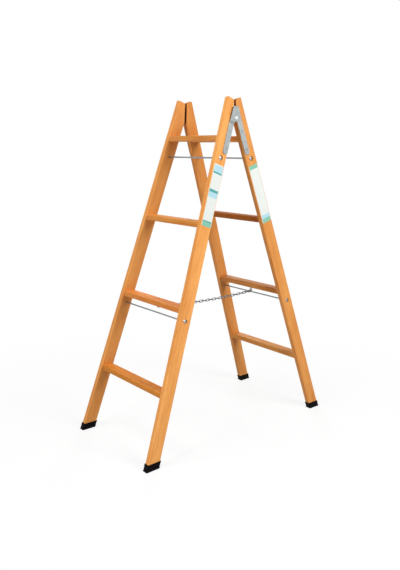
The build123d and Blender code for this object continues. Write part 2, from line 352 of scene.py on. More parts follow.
class SizeSettings(bpy.types.PropertyGroup):
    """Sizes of the small pieces that dress the frame."""

    strap_edge: length_setting("Strap edge", "Rounding of the hinge straps' edges", 0.0004)
    screw_head_radius: length_setting("Screw head radius", "Low pan heads of the strap screws", 0.004)
    screw_head_height: length_setting("Screw head height", "Low pan heads of the strap screws", 0.0012)
    washer_radius: length_setting("Washer radius", "Washers on the tie rods", 0.007)
    washer_thickness: length_setting("Washer thickness", "Washers on the tie rods", 0.0012)
    nut_flats: length_setting("Nut across flats", "Nuts on the tie rods", 0.008)
    nut_height: length_setting("Nut height", "Nuts on the tie rods", 0.0032)
    rivet_head_radius: length_setting("Rivet head radius", "Domed heads of the hinge rivets", 0.0065)
    chain_wire: length_setting("Chain wire", "Wire of the chain links and screw eyes", 0.0028)
    label_length: length_setting("Label length", "Labels, up the stile", 0.200, precision=4)
    label_width: length_setting("Label width", "Labels, across the stile", 0.040, precision=4)
    label_film: length_setting("Label thickness", "Film of the labels", 0.0002)


class Paint:
    """A socket of a material's nodes. Sums and products of paints add Math nodes."""

    def __init__(self, tree, socket=None):
        self.tree = tree
        self.socket = socket

    def node(self, kind, values=None, out=0, stops=None, **settings):
        """Add a node: settings and stepped ramp colours first, then values or links for its sockets."""
        made = self.tree.nodes.new(kind)
        for key, value in settings.items():
            setattr(made, key, value)
        if stops:
            ramp = made.color_ramp
            ramp.interpolation = "CONSTANT"
            for position, _ in stops[1:-1]:
                ramp.elements.new(position)
            for element, (position, shade) in zip(ramp.elements, stops):
                element.position = position
                element.color = (*shade, 1.0)
        for key, value in (values or {}).items():
            if isinstance(value, Paint):
                self.tree.links.new(value.socket, made.inputs[key])
            else:
                made.inputs[key].default_value = value
        return Paint(self.tree, made.outputs[out])

    def maths(self, operation, first, second=0.0):
        """A Math node."""
        return self.node("ShaderNodeMath", {0: first, 1: second}, operation=operation)

    def __add__(self, other):
        return self.maths("ADD", self, other)

    __radd__ = __add__

    def __mul__(self, other):
        return self.maths("MULTIPLY", self, other)

    __rmul__ = __mul__

    def __sub__(self, other):
        return self.maths("SUBTRACT", self, other)

    def __rsub__(self, other):
        return self.maths("SUBTRACT", other, self)

    def __truediv__(self, other):
        return self.maths("DIVIDE", self, other)

    def absolute(self):
        """This value without its sign."""
        return self.maths("ABSOLUTE", self)

    def clamped(self):
        """This value, held between 0 and 1."""
        return self.node("ShaderNodeClamp", {0: self})

    def step(self, low, high):
        """Smooth step of this value from low to high."""
        values = {0: self, 1: low, 2: high}
        return self.node("ShaderNodeMapRange", values, interpolation_type="SMOOTHSTEP")

    def vector(self, operation, *others, out=0):
        """A Vector Math node that starts from this vector."""
        values = dict(enumerate((self, *others)))
        return self.node("ShaderNodeVectorMath", values, out, operation=operation)

    def scaled(self, *factors):
        """This vector, multiplied part by part."""
        return self.vector("MULTIPLY", factors)

    def part(self, axis):
        """One part of this vector."""
        return self.node("ShaderNodeSeparateXYZ", {0: self}, axis)

    def noise(self, scale, detail=2.0, rough=0.5, out=0):
        """Noise at this vector."""
        values = {"Vector": self, "Scale": scale, "Detail": detail, "Roughness": rough}
        return self.node("ShaderNodeTexNoise", values, out)

    def mix(self, first, second):
        """Colour mixed from first to second by this value."""
        values = {0: self, 6: first, 7: second}
        for key, value in values.items():
            if not isinstance(value, Paint):
                values[key] = (*value, 1.0)
        return self.node("ShaderNodeMix", values, 2, data_type="RGBA")


def new_material(name, centre=(0, 0, 0), turn=None, **constants):
    """A material, its shader, and Object coordinates centred and turned by a Mapping node."""
    material = bpy.data.materials.new(name)
    material.use_nodes = True
    tree = material.node_tree
    shader = tree.nodes["Principled BSDF"]
    for key, value in constants.items():
        shader.inputs[key.replace("_", " ")].default_value = value
    turn = turn or Matrix.Identity(3)
    shift = turn @ Vector(centre) * -1
    coordinates = Paint(tree).node("ShaderNodeTexCoord", out="Object")
    values = {"Vector": coordinates, "Location": shift, "Rotation": turn.to_euler("XYZ")}
    return material, shader, coordinates.node("ShaderNodeMapping", values, vector_type="POINT")


def connect(shader, height, relief, **sockets):
    """Feed paints into a shader's sockets, and a height through a Bump node into its Normal."""
    values = {"Height": height, "Strength": 1.0, "Distance": relief}
    sockets["Normal"] = height.node("ShaderNodeBump", values)
    for key, paint in sockets.items():
        shader.id_data.links.new(paint.socket, shader.inputs[key.replace("_", " ")])


def lacquered_wood(name, node, along, number, stain, bevelled):
    """Solid wood with its grain along a board, under satin lacquer.

    The number turns and shifts the log that the board is cut from. A bevelled board has painted shade
    on its plumb bevel, which faces into the narrow slot at the frames' tops.
    """
    finish = bpy.context.scene.ladder_finish
    sheen = DULL_SHEEN if node in DULL_BOARDS else SHEEN
    low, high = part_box(node)
    log_turn = Euler((0.014, 0.010, 2.4 * number)).to_matrix()
    turn = log_turn @ along.rotation_difference(Vector((0, 0, 1))).to_matrix()
    middle = (low + high) / 2
    material, shader, local = new_material(name, middle, turn, Specular_IOR_Level=sheen, IOR=1.46)
    # Growth rings round a pith outside the board, bent by slow noise
    pith = Vector((0.034 + 0.007 * (number % 5), 0.012 * (number % 3), 0.37 * number))
    place = local.vector("ADD", pith)
    wander = place.scaled(9, 9, 1.6).noise(1.0, 2.0, out="Color")
    bent = wander.vector("MULTIPLY_ADD", (0.016,) * 3, place)
    radius = bent.scaled(1, 1, 0).vector("LENGTH", out="Value")
    rings = radius / finish.ring_width
    ring = rings.maths("FRACT", rings)
    late_wood = ring.step(0.35, 0.95) * (1 - ring.step(0.95, 1.0))
    year = rings.maths("FLOOR", rings)
    year_tone = year.node("ShaderNodeTexWhiteNoise", {"W": year}, noise_dimensions="1D")
    # Fibres, figure, clouds and short flecks, all drawn out along the grain
    fibre = place.scaled(900, 900, 16).noise(1.0, 3.0, 0.6)
    broad = place.scaled(34, 34, 2.2).noise(1.0, 2.0)
    figure = place.scaled(60, 60, 13).noise(1.0, 2.0)
    cloud = place.scaled(5, 5, 3.0).noise(1.0, 2.0)
    cells = {"Vector": place.scaled(640, 640, 105), "Scale": 1.0, "Randomness": 1.0}
    speck = place.node("ShaderNodeTexVoronoi", cells, "Distance", feature="F1")
    fleck = (1 - speck.step(0.10, 0.30)) * place.scaled(120, 120, 20).noise(1.0).step(0.44, 0.62)
    depth = (
        late_wood * (0.18 + 0.28 * year_tone)
        + (fibre - 0.5) * 0.6
        + (broad - 0.5) * 0.95
        + (figure - 0.5) * 0.85
        + (cloud - 0.5) * 0.75
        + (0.20 + 0.05 * (number % 4))
    )
    # The stain holds painted shade on the darkened rear rungs
    light, dark = stained(finish.wood_light, stain), stained(finish.wood_dark, stain)
    flecked = (fleck * 0.30).mix(depth.clamped().mix(light, dark), finish.wood_fleck)
    # End grain where the surface faces along the board, and painted shade on the plumb bevel
    normal = local.node("ShaderNodeTexCoord", out="Normal")
    end_grain = normal.vector("DOT_PRODUCT", along, out="Value").absolute().step(0.75, 0.95)
    surface = (end_grain * 0.42).mix(flecked, finish.wood_fleck)
    # Painted shade: the plumb bevel, in the narrow slot at the frames' tops, is darkened as if in shade
    if bevelled:
        bevel_shade = normal.part("Y").absolute().step(0.965, 0.985)
        surface = (bevel_shade * 0.75).mix(surface, shaded(finish.wood_fleck, 0.5))
    lacquer = finish.lacquer_roughness - 0.05
    connect(
        shader,
        height=fibre * 0.35 - fleck * 0.8 - late_wood * 0.15,
        relief=0.00005,
        Base_Color=surface,
        Roughness=fibre * 0.10 + fleck * 0.12 + end_grain * 0.15 + lacquer,
    )
    return material


def galvanised_steel(name):
    """Zinc-dipped sheet with crystals of different brightness and fine rolling marks."""
    steel = bpy.context.scene.ladder_finish.galvanised
    material, shader, local = new_material(name, Metallic=1.0)
    wobble = local.noise(90.0, 2.0, out="Color")
    bent = wobble.vector("MULTIPLY_ADD", (0.004,) * 3, local)
    cells = {"Vector": bent, "Scale": 150.0}
    crystal = bent.node("ShaderNodeTexVoronoi", cells, "Color", feature="F1")
    edge = bent.node("ShaderNodeTexVoronoi", cells, "Distance", feature="DISTANCE_TO_EDGE")
    shade = crystal.node("ShaderNodeSeparateColor", {0: crystal}, 0)
    feather = local.scaled(500, 500, 70).noise(1.0, 3.0, 0.6)
    cloud = local.noise(22.0, 3.0)
    tone = shade * 0.45 + feather * 0.25 + cloud * 0.30
    connect(
        shader,
        height=feather * 0.4 + edge.step(0.0, 0.12) * 0.5,
        relief=0.00003,
        Base_Color=tone.mix(shaded(steel, 0.84), shaded(steel, 1.14)),
        Roughness=shade * 0.12 + cloud * 0.12 + 0.38,
    )
    return material


def plated_steel(name, steel, roughness):
    """Bright plated steel with drawing marks, fine scratches and duller patches."""
    material, shader, local = new_material(name, Metallic=1.0)
    scratch = local.scaled(60, 2600, 2600).noise(1.0, 3.0, 0.65)
    patch = local.noise(160.0, 3.0, 0.6)
    stain = local.noise(45.0, 2.0).step(0.45, 0.75)
    dullness = patch * 0.45 + scratch * 0.35 + stain * 0.30 - 0.25
    connect(
        shader,
        height=scratch,
        relief=0.00001,
        Base_Color=dullness.clamped().mix(steel, shaded(steel, 0.55)),
        Roughness=patch * 0.16 + scratch * 0.12 + stain * 0.10 + roughness,
    )
    return material


def moulded_rubber(name):
    """Black rubber with a fine moulded grain, greyer scuffs and dust near the floor."""
    rubber = bpy.context.scene.ladder_finish.rubber
    material, shader, local = new_material(name, Specular_IOR_Level=0.05)
    grain = local.noise(1900.0, 2.0)
    scuff = local.scaled(60, 60, 160).noise(1.0, 4.0, 0.65).step(0.52, 0.78)
    dust = (1 - local.part("Z").step(0.0, 0.012)) * local.noise(140.0, 3.0)
    greyness = scuff * 0.45 + dust * 0.55 + (grain - 0.5) * 0.25
    grey = tuple(v * 2.4 + 0.003 for v in rubber)
    connect(
        shader,
        height=grain * 0.7 + scuff * 0.3,
        relief=0.00012,
        Base_Color=greyness.clamped().mix(rubber, grey),
        Roughness=grain * 0.12 + scuff * 0.18 + 0.52,
    )
    return material


def banded_label(name, place, bands):
    """Film with plain bands across the stile inside a bare margin, faint dimples and a satin sheen."""
    finish = bpy.context.scene.ladder_finish
    sizes = bpy.context.scene.ladder_sizes
    up, outward = place.col[1].xyz, place.col[2].xyz
    turn = Matrix((up.cross(outward), up, outward))
    material, shader, local = new_material(name, place.translation, turn, Specular_IOR_Level=0.4)
    down = 0.5 - local.part("Y") / sizes.label_length
    stops = [(start, getattr(finish, shade)) for start, shade in bands]
    band = down.node("ShaderNodeValToRGB", {0: down}, stops=stops)
    inner = sizes.label_width / 2 - LABEL_MARGIN
    margin = local.part("X").absolute().step(inner, inner + LABEL_BLUR)
    fade = local.noise(60.0, 3.0, 0.6)
    dimple = local.noise(700.0, 2.0)
    film = margin.mix(band, finish.label_white)
    connect(
        shader,
        height=dimple * 0.5 + fade,
        relief=0.00006,
        Base_Color=((fade - 0.4) * 0.22).mix(film, colour(*LABEL_AGED)),
        Roughness=dimple * 0.10 + fade * 0.14 + 0.28,
    )
    return material


def only(kind, items):
    """The items of one kind, such as BMVert."""
    return [item for item in items if isinstance(item, kind)]


def ends(edges):
    """The vertices of edges, each once."""
    return list(dict.fromkeys(vert for edge in edges for vert in edge.verts))


def as_mesh(name, bm):
    """A new mesh from a bmesh, which is used up."""
    mesh = bpy.data.meshes.new(name)
    bm.to_mesh(mesh)
    bm.free()
    return mesh


def copies(template, placements, bm=None):
    """A bmesh, or the one given, with a copy of a template at each place. The template is used up."""
    mesh = as_mesh("template", template)
    if bm is None:
        bm = bmesh.new()
    for place in placements:
        first = len(bm.verts)
        bm.from_mesh(mesh)
        bm.verts.ensure_lookup_table()
        bmesh.ops.transform(bm, matrix=place, verts=bm.verts[first:])
    bpy.data.meshes.remove(mesh)
    return bm


def add_piece(name, bm, material, body, nodes=(), flat=1.0):
    """Finish a bmesh as a piece that rides on a body and may stand for CAD nodes.

    Faces of the flat area or more aren't smoothed.
    """
    bmesh.ops.recalc_face_normals(bm, faces=bm.faces)
    mesh = as_mesh(name, bm)
    mesh.set_sharp_from_angle(angle=SHARP)
    mesh.polygons.foreach_set("use_smooth", [polygon.area < flat for polygon in mesh.polygons])
    mesh.materials.append(material)
    piece = bpy.data.objects.new(name, mesh)
    bpy.context.scene.collection.objects.link(piece)
    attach(piece, body)
    if nodes:
        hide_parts(*nodes)


def dress_node(name, material):
    """Give a CAD node that keeps its shape a better material."""
    mesh = frame["nodes"][name].data
    mesh.materials.clear()
    mesh.materials.append(material)


def spun(bm, steps):
    """Spin all of a bmesh full circle about Z and close the seam."""
    geometry = [*bm.verts, *bm.edges]
    bmesh.ops.spin(
        bm, geom=geometry, cent=(0, 0, 0), axis=(0, 0, 1), angle=tau, steps=steps, use_merge=True
    )
    bmesh.ops.remove_doubles(bm, verts=bm.verts, dist=SAME)
    bmesh.ops.recalc_face_normals(bm, faces=bm.faces)
    return bm


def turned(profile, steps, closed=False):
    """Profile of (radius, height) points, turned about Z."""
    bm = bmesh.new()
    points = [bm.verts.new((radius, 0, height)) for radius, height in profile]
    pairs = list(zip(points, points[1:]))
    if closed:
        pairs.append((points[-1], points[0]))
    for pair in pairs:
        bm.edges.new(pair)
    return spun(bm, steps)


def bevel(bm, geometry, offset, segments, affect="EDGES", clamp=False):
    """Round edges or corners."""
    bmesh.ops.bevel(
        bm,
        geom=geometry,
        offset=offset,
        affect=affect,
        segments=segments,
        profile=0.5,
        material=-1,
        clamp_overlap=clamp,
    )


def round_rim(bm, radius, height, offset, segments):
    """Bevel the circular edge of a turned piece that has this radius and height."""

    def on_rim(vert):
        return abs(vert.co.xy.length - radius) < NEAR and abs(vert.co.z - height) < NEAR

    rim = [edge for edge in bm.edges if all(on_rim(vert) for vert in edge.verts)]
    bevel(bm, rim, offset, segments)


def rounded_plate(width, depth, corner, segments):
    """A flat plate round the origin with rounded corners."""
    bm = bmesh.new()
    bmesh.ops.create_grid(bm, x_segments=1, y_segments=1, size=0.5)
    bmesh.ops.scale(bm, vec=(width, depth, 1), verts=bm.verts)
    bevel(bm, list(bm.verts), corner, segments, affect="VERTICES")
    return bm


def connected_runs(edges):
    """Edges, sorted into lists that hang together."""
    left = dict.fromkeys(edges)
    runs = []
    while left:
        run = [left.popitem()[0]]
        # The list grows as it is walked through
        for edge in run:
            for vert in edge.verts:
                near = [other for other in vert.link_edges if other in left]
                for other in near:
                    del left[other]
                run += near
        runs.append(run)
    return runs


def softened_copy(node, width, hole):
    """A copy of a CAD node's mesh, merged, with flat faces joined and sharp edges rounded.

    Edges round holes up to a size stay sharp.
    """
    bm = bmesh.new()
    bm.from_mesh(frame["nodes"][node].data)
    bmesh.ops.remove_doubles(bm, verts=bm.verts, dist=NEAR)
    bmesh.ops.dissolve_limit(bm, angle_limit=FLAT, verts=bm.verts, edges=bm.edges)
    sharp = [edge for edge in bm.edges if edge.calc_face_angle(0.0) > STRAP_SHARP]
    outline = []
    for run in connected_runs(sharp):
        heights = [vert.co.z for edge in run for vert in edge.verts]
        if max(heights) - min(heights) > hole:
            outline += run
    bevel(bm, outline, width, segments=2, clamp=True)
    return bm


class LADDER_OT_boards(bpy.types.Operator):
    """Give each stile and rung its own board of lacquered wood"""

    bl_idname = "ladder.boards"
    bl_label = "Stiles and rungs"

    def execute(self, context):
        boards = []
        for end, frame_side in FRAMES.items():
            for side, hand in SIDES.items():
                along = (frame_side @ hand).to_3x3() @ STILE_UP
                node, name = f"{end}_stile_{side}", f"{end} {side} stile wood"
                boards.append((node, name, along, board_stain_and_shade(node, STILE_TONE), True))
            for rung in range(1, len(RUNG_HEIGHTS) + 1):
                node, name = f"{end}_rung_{rung}", f"{end} rung {rung} wood"
                # Rung stains include painted shade on the darkened rear rungs
                boards.append((node, name, ACROSS, board_stain_and_shade(node, RUNG_TONE, RUNG_GAIN), False))
        for number, (node, name, along, stain, bevelled) in enumerate(boards):
            dress_node(node, lacquered_wood(name, node, along, number, stain, bevelled))
        return {"FINISHED"}


class LADDER_OT_shoes(bpy.types.Operator):
    """Model the four rubber shoes with a rim, a waist, a foot flange and a socket for the stile"""

    bl_idname = "ladder.shoes"
    bl_label = "Rubber shoes"

    def execute(self, context):
        material = moulded_rubber("moulded black rubber")
        width = (STILE_THICKNESS + 2 * SHOE_WALL) / cos(TAPER)
        depth_axis = Vector((-sin(TAPER) * sin(LEAN), cos(TAPER), 0)).normalized()
        depth = (STILE_DEPTH + 2 * SHOE_WALL) / -OUT.dot(depth_axis)
        middle = outer_x(0) - STILE_THICKNESS / 2 / cos(TAPER)
        foot = Vector((middle, -FOOT_REACH, 0))
        shear = placement((1, 0, 0), depth_axis, STILE_UP / STILE_UP.z, foot)
        for end, frame_side in FRAMES.items():
            for side, hand in SIDES.items():
                bm = self.shoe(width, depth)
                bmesh.ops.transform(bm, matrix=frame_side @ hand @ shear, verts=bm.verts)
                name, nodes = f"{end}_rubber_shoe_{side}", [f"{end}_foot_{side}"]
                add_piece(name, bm, material, f"{end}_frame", nodes)
        return {"FINISHED"}

    def shoe(self, width, depth):
        """An upright shoe: rounded plan, drawn up in steps, hollow from above."""
        bm = rounded_plate(width, depth, SHOE_CORNER, segments=4)
        sole = (1 - 2 * SHOE_EASE / width, 1 - 2 * SHOE_EASE / depth, 1)
        bmesh.ops.scale(bm, vec=sole, verts=bm.verts)
        top = list(bm.faces)
        for number, (rise, spread) in enumerate(SHOE_STEPS):
            made = bmesh.ops.extrude_face_region(bm, geom=top, use_keep_orig=number == 0)
            top = only(BMFace, made["geom"])
            verts = top[0].verts
            size = [max(v.co[i] for v in verts) - min(v.co[i] for v in verts) for i in (0, 1)]
            grow = (1 + 2 * spread / size[0], 1 + 2 * spread / size[1], 1)
            bmesh.ops.scale(bm, vec=grow, verts=verts)
            bmesh.ops.translate(bm, vec=(0, 0, rise), verts=verts)
        rim = SHOE_WALL - SHOE_EASE - SOCKET_PLAY
        bmesh.ops.inset_region(bm, faces=top, thickness=rim, use_even_offset=True)
        socket = bmesh.ops.extrude_face_region(bm, geom=top)["geom"]
        bmesh.ops.delete(bm, geom=top, context="FACES_ONLY")
        bmesh.ops.translate(bm, vec=(0, 0, SOLE_THICKNESS - SHOE_HEIGHT), verts=only(BMVert, socket))
        return bm


class LADDER_OT_straps(bpy.types.Operator):
    """Model the four galvanised hinge straps with softened edges"""

    bl_idname = "ladder.straps"
    bl_label = "Hinge straps"

    def execute(self, context):
        edge = context.scene.ladder_sizes.strap_edge
        material = galvanised_steel("galvanised strap steel")
        for end in FRAMES:
            for side in SIDES:
                name, node = f"{end}_strap_{side}", f"{end}_hinge_strap_{side}"
                bm = softened_copy(node, edge, STRAP_HOLE)
                body, slot = f"{end}_frame", "galvanised_steel"
                add_piece(name, bm, material, body, [node], STRAP_FLAT_AREA)
        return {"FINISHED"}


class LADDER_OT_screws(bpy.types.Operator):
    """Model the low pan-head screws of the hinge straps, with a cross recess and a tapered point"""

    bl_idname = "ladder.screws"
    bl_label = "Strap screws"

    def execute(self, context):
        material = galvanised_steel("galvanised screw steel")
        for end, frame_side in FRAMES.items():
            places = []
            for height in SCREW_HEIGHTS:
                seat = on_outer_face(height, STRAP_MIDDLE)
                places += [frame_side @ hand @ seat for hand in SIDES.values()]
            screws = copies(self.screw(context.scene.ladder_sizes), places)
            name, nodes = f"{end}_pan_head_screws", [f"{end}_strap_screws"]
            add_piece(name, screws, material, f"{end}_frame", nodes)
        return {"FINISHED"}

    def screw(self, sizes):
        """One screw, its axis along Z and the strap's underside at zero."""
        radius, height = sizes.screw_head_radius, sizes.screw_head_height
        top = STRAP_THICKNESS + height
        profile = (
            (0, SCREW_TIP),
            (SCREW_SHANK, SCREW_POINT),
            (SCREW_SHANK, STRAP_THICKNESS),
            (radius, STRAP_THICKNESS),
            (radius, top),
            (0, top),
        )
        bm = turned(profile, steps=24)
        round_rim(bm, radius, top, height * HEAD_ROUNDING, segments=5)
        arm, half_slot = radius * CROSS_ARM, radius * CROSS_HALF_SLOT
        for axis in ((1, 0, 0), (0, 1, 0)):
            for reach in (arm, -arm, half_slot, -half_slot):
                self.cut_crown(bm, Vector(axis), reach)
        cross = []
        for face in self.crown(bm):
            x, y = (abs(v) for v in face.calc_center_median().xy)
            if max(x, y) < arm and min(x, y) < half_slot:
                cross.append(face)
        sunk = bmesh.ops.extrude_face_region(bm, geom=cross)["geom"]
        bmesh.ops.delete(bm, geom=cross, context="FACES_KEEP_BOUNDARY")
        floor = only(BMVert, sunk)
        bmesh.ops.translate(bm, vec=(0, 0, -height * CROSS_SINK), verts=floor)
        bmesh.ops.scale(bm, vec=(CROSS_NARROWING, CROSS_NARROWING, 1), verts=floor)
        return bm

    def crown(self, bm):
        """Faces of a head that look up."""
        return [face for face in bm.faces if face.normal.z > LOOKS_UP]

    def cut_crown(self, bm, axis, reach):
        """Cut the crown's faces along a plane across an axis."""
        crown = self.crown(bm)
        lines = dict.fromkeys(edge for face in crown for edge in face.edges)
        points = dict.fromkeys(vert for face in crown for vert in face.verts)
        bmesh.ops.bisect_plane(
            bm, geom=[*crown, *lines, *points], dist=SAME, plane_co=axis * reach, plane_no=axis
        )
        bm.normal_update()


class LADDER_OT_rivets(bpy.types.Operator):
    """Model the two hinge rivets: a domed head outside and a small closing head inside"""

    bl_idname = "ladder.rivets"
    bl_label = "Hinge rivets"

    def execute(self, context):
        ear = outer_x(PIVOT_HEIGHT - EAR_REACH)
        seat = ear + EAR_LIFT + STRAP_THICKNESS
        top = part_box("hinge_rivets")[1].x
        tail = ear - RIVET_TAIL_SINK
        tail_end = tail - RIVET_TAIL_HEIGHT
        head = context.scene.ladder_sizes.rivet_head_radius
        profile = (
            (0, tail_end),
            (RIVET_TAIL_RADIUS, tail_end),
            (RIVET_TAIL_RADIUS, tail),
            (RIVET_SHANK, tail),
            (RIVET_SHANK, seat),
            (head, seat),
            (head, top),
            (0, top),
        )
        bm = turned(profile, steps=40)
        round_rim(bm, head, top, top - seat - RIVET_HEAD_WALL, segments=7)
        round_rim(bm, RIVET_TAIL_RADIUS, tail_end, RIVET_TAIL_ROUNDING, segments=4)
        pivot = next(joint for joint in frame["joints"] if joint["name"] == "fold")["pos_m"]
        axle = along_rungs(Vector(pivot))
        rivets = copies(bm, [hand @ axle for hand in SIDES.values()])
        material = plated_steel("zinc rivet steel", context.scene.ladder_finish.zinc, RIVET_ROUGHNESS)
        add_piece("pivot_rivets", rivets, material, "front_frame", ["hinge_rivets"])
        return {"FINISHED"}


class LADDER_OT_tie_rods(bpy.types.Operator):
    """Dress the tie rods and model the chamfered nuts and eased washers on their ends"""

    bl_idname = "ladder.tie_rods"
    bl_label = "Tie rods, washers and nuts"

    def execute(self, context):
        sizes = context.scene.ladder_sizes
        zinc = context.scene.ladder_finish.zinc
        rod_steel = plated_steel("drawn zinc rod", stained(zinc, ROD_DULLING), ROD_ROUGHNESS)
        nut_steel = plated_steel("zinc nut steel", zinc, NUT_ROUGHNESS)
        on_washer = Matrix.Translation((0, 0, sizes.washer_thickness))
        for end, frame_side in FRAMES.items():
            for place in ("upper", "lower"):
                dress_node(f"{end}_tie_rod_{place}", rod_steel)
            seats = []
            for height in ROD_HEIGHTS:
                seat = along_rungs(frame_point(outer_x(height) - RECESS_DEPTH, height))
                seats += [frame_side @ hand @ seat for hand in SIDES.values()]
            washers = copies(self.washer(sizes), seats)
            nuts = copies(self.nut(sizes), [seat @ on_washer for seat in seats])
            for kind, bm in (("washers", washers), ("nuts", nuts)):
                name, nodes = f"{end}_rod_{kind}", [f"{end}_tie_rod_{kind}"]
                add_piece(name, bm, nut_steel, f"{end}_frame", nodes)
        return {"FINISHED"}

    def washer(self, sizes):
        """A flat washer, its seat at zero, with a rounded outer edge."""
        bore, rim, thick = ROD_RADIUS + WASHER_PLAY, sizes.washer_radius, sizes.washer_thickness
        profile = ((bore, 0), (rim, 0), (rim, thick), (bore, thick))
        bm = turned(profile, steps=40, closed=True)
        round_rim(bm, rim, thick, thick * WASHER_ROUNDING, segments=3)
        return bm

    def nut(self, sizes):
        """A nut turned with two cones, then cut to six flats."""
        corner, face, tall = sizes.nut_flats / sqrt(3), sizes.nut_flats * NUT_FACE, sizes.nut_height
        bore = ROD_RADIUS + NUT_PLAY
        profile = (
            (bore, NUT_CHAMFER),
            (bore + NUT_CHAMFER, 0),
            (face, 0),
            (corner, NUT_CHAMFER),
            (corner, tall - NUT_CHAMFER),
            (face, tall),
            (bore + NUT_CHAMFER, tall),
            (bore, tall - NUT_CHAMFER),
        )
        bm = turned(profile, steps=48, closed=True)
        for flat in range(6):
            outward = Vector((cos(flat * pi / 3), sin(flat * pi / 3), 0))
            cut = bmesh.ops.bisect_plane(
                bm,
                geom=[*bm.verts, *bm.edges, *bm.faces],
                dist=SAME,
                plane_co=outward * sizes.nut_flats / 2,
                plane_no=outward,
                clear_outer=True,
            )
            bmesh.ops.edgeloop_fill(bm, edges=only(BMEdge, cut["geom_cut"]))
        return bm


class LADDER_OT_chain(bpy.types.Operator):
    """Model the safety chain's welded links and the two screw eyes that hold it"""

    bl_idname = "ladder.chain"
    bl_label = "Safety chain and eyes"

    def execute(self, context):
        wire = context.scene.ladder_sizes.chain_wire
        material = plated_steel("zinc chain steel", context.scene.ladder_finish.chain, CHAIN_ROUGHNESS)
        rung = frame_point(0, RUNG_HEIGHTS[CHAIN_RUNG])
        underside = rung.z - RUNG_THICKNESS / 2
        hooks = {}
        for end, frame_side in FRAMES.items():
            low = underside - EYE_NECKS[end] - wire / 2 - EYE_RADIUS
            middle = frame_side @ Vector((0, rung.y + EYE_SET_BACK[end], low))
            eye = self.eye(middle, underside + EYE_SHANK, wire)
            name, nodes = f"{end}_screw_eye", [f"{end}_chain_eye"]
            add_piece(name, eye, material, f"{end}_frame", nodes)
            hooks[end] = middle - Vector((0, 0, EYE_RADIUS))
        contact = wire + LINK_PLAY
        half_contact = Vector((0, contact / 2, 0))
        places, pitch = self.link_places(hooks["front"] - half_contact, hooks["rear"] + half_contact)
        for end, part in (("front", places[:FRONT_LINKS]), ("rear", places[FRONT_LINKS:])):
            links = copies(self.link(pitch + contact, wire), part)
            name, nodes = f"{end}_welded_links", [f"{end}_chain_links"]
            add_piece(name, links, material, f"{end}_chain", nodes)
        return {"FINISHED"}

    def eye(self, middle, shank_top, wire):
        """A screw eye: a ring of round wire, and a threaded shank that ends at this height."""
        ring = bmesh.new()
        bmesh.ops.create_circle(ring, segments=14, radius=wire / 2)
        stand = Matrix.Translation((EYE_RADIUS, 0, 0)) @ Matrix.Rotation(pi / 2, 4, "X")
        bmesh.ops.transform(ring, matrix=stand, verts=ring.verts)
        spun(ring, steps=40)
        root = middle.z + EYE_RADIUS
        start = root + COLLAR_LENGTH
        ridges = int((shank_top - root - UNTHREADED) / THREAD_PITCH)
        profile = [(0, root), (COLLAR_RADIUS, root)]
        for ridge in range(ridges):
            foot = start + ridge * THREAD_PITCH
            profile += [(THREAD_ROOT, foot), (THREAD_CREST, foot + THREAD_PITCH / 2)]
        profile += [(THREAD_ROOT, start + ridges * THREAD_PITCH), (0, shank_top)]
        shank = copies(turned(profile, steps=20), [Matrix.Translation((0, middle.y, 0))])
        return copies(ring, [placement((1, 0, 0), (0, 0, 1), (0, -1, 0), middle)], shank)

    def link_places(self, start, finish):
        """Places of the links on a sagging line between two points, and their pitch."""
        chord = finish - start
        bend = 8 * CHAIN_SAG / chord.y / LINK_COUNT
        half_count = (LINK_COUNT - 1) / 2
        slopes = [atan(chord.z / chord.y + (i - half_count) * bend) for i in range(LINK_COUNT)]
        pitch = chord.y / sum(cos(slope) for slope in slopes)
        knuckle = start
        places = []
        for number, slope in enumerate(slopes):
            run = Vector((0, cos(slope), sin(slope)))
            rise = Vector((0, -sin(slope), cos(slope)))
            face = ACROSS if number % 2 == 0 else rise
            places.append(placement(run, face.cross(run), face, knuckle + run * pitch / 2))
            knuckle = knuckle + run * pitch
        return places, pitch

    def link(self, wire_length, wire):
        """One link of round wire along X, bent round both ends, with a weld on one side."""
        bend = LINK_HALF_GAP + wire / 2
        reach = wire_length / 2 - bend
        bm = bmesh.new()
        bmesh.ops.create_circle(bm, segments=12, radius=wire / 2)
        stand = Matrix.Translation((-reach, -bend, 0)) @ Matrix.Rotation(pi / 2, 4, "Y")
        bmesh.ops.transform(bm, matrix=stand, verts=bm.verts)
        ring = self.drawn(bm, list(bm.edges), 2 * reach)
        ring = self.bent(bm, ring, (reach, 0, 0))
        for run, swell in WELD_STEPS:
            ring = self.drawn(bm, ring, -2 * reach * run)
            verts = ends(ring)
            middle = sum((vert.co for vert in verts), Vector()) / len(verts)
            bmesh.ops.scale(bm, vec=(1, swell, swell), space=Matrix.Translation(-middle), verts=verts)
        self.bent(bm, ring, (-reach, 0, 0))
        bmesh.ops.remove_doubles(bm, verts=bm.verts, dist=NEAR)
        return bm

    def drawn(self, bm, ring, run):
        """Extrude a ring of edges along X and give the new ring."""
        made = bmesh.ops.extrude_edge_only(bm, edges=ring)["geom"]
        verts = only(BMVert, made)
        bmesh.ops.translate(bm, vec=(run, 0, 0), verts=verts)
        return [edge for edge in only(BMEdge, made) if all(vert in verts for vert in edge.verts)]

    def bent(self, bm, ring, middle):
        """Spin a ring of edges half a turn about a link's end and give the last ring."""
        made = bmesh.ops.spin(
            bm, geom=ring + ends(ring), cent=middle, axis=(0, 0, 1), angle=pi, steps=9, use_merge=False
        )
        return only(BMEdge, made["geom_last"])


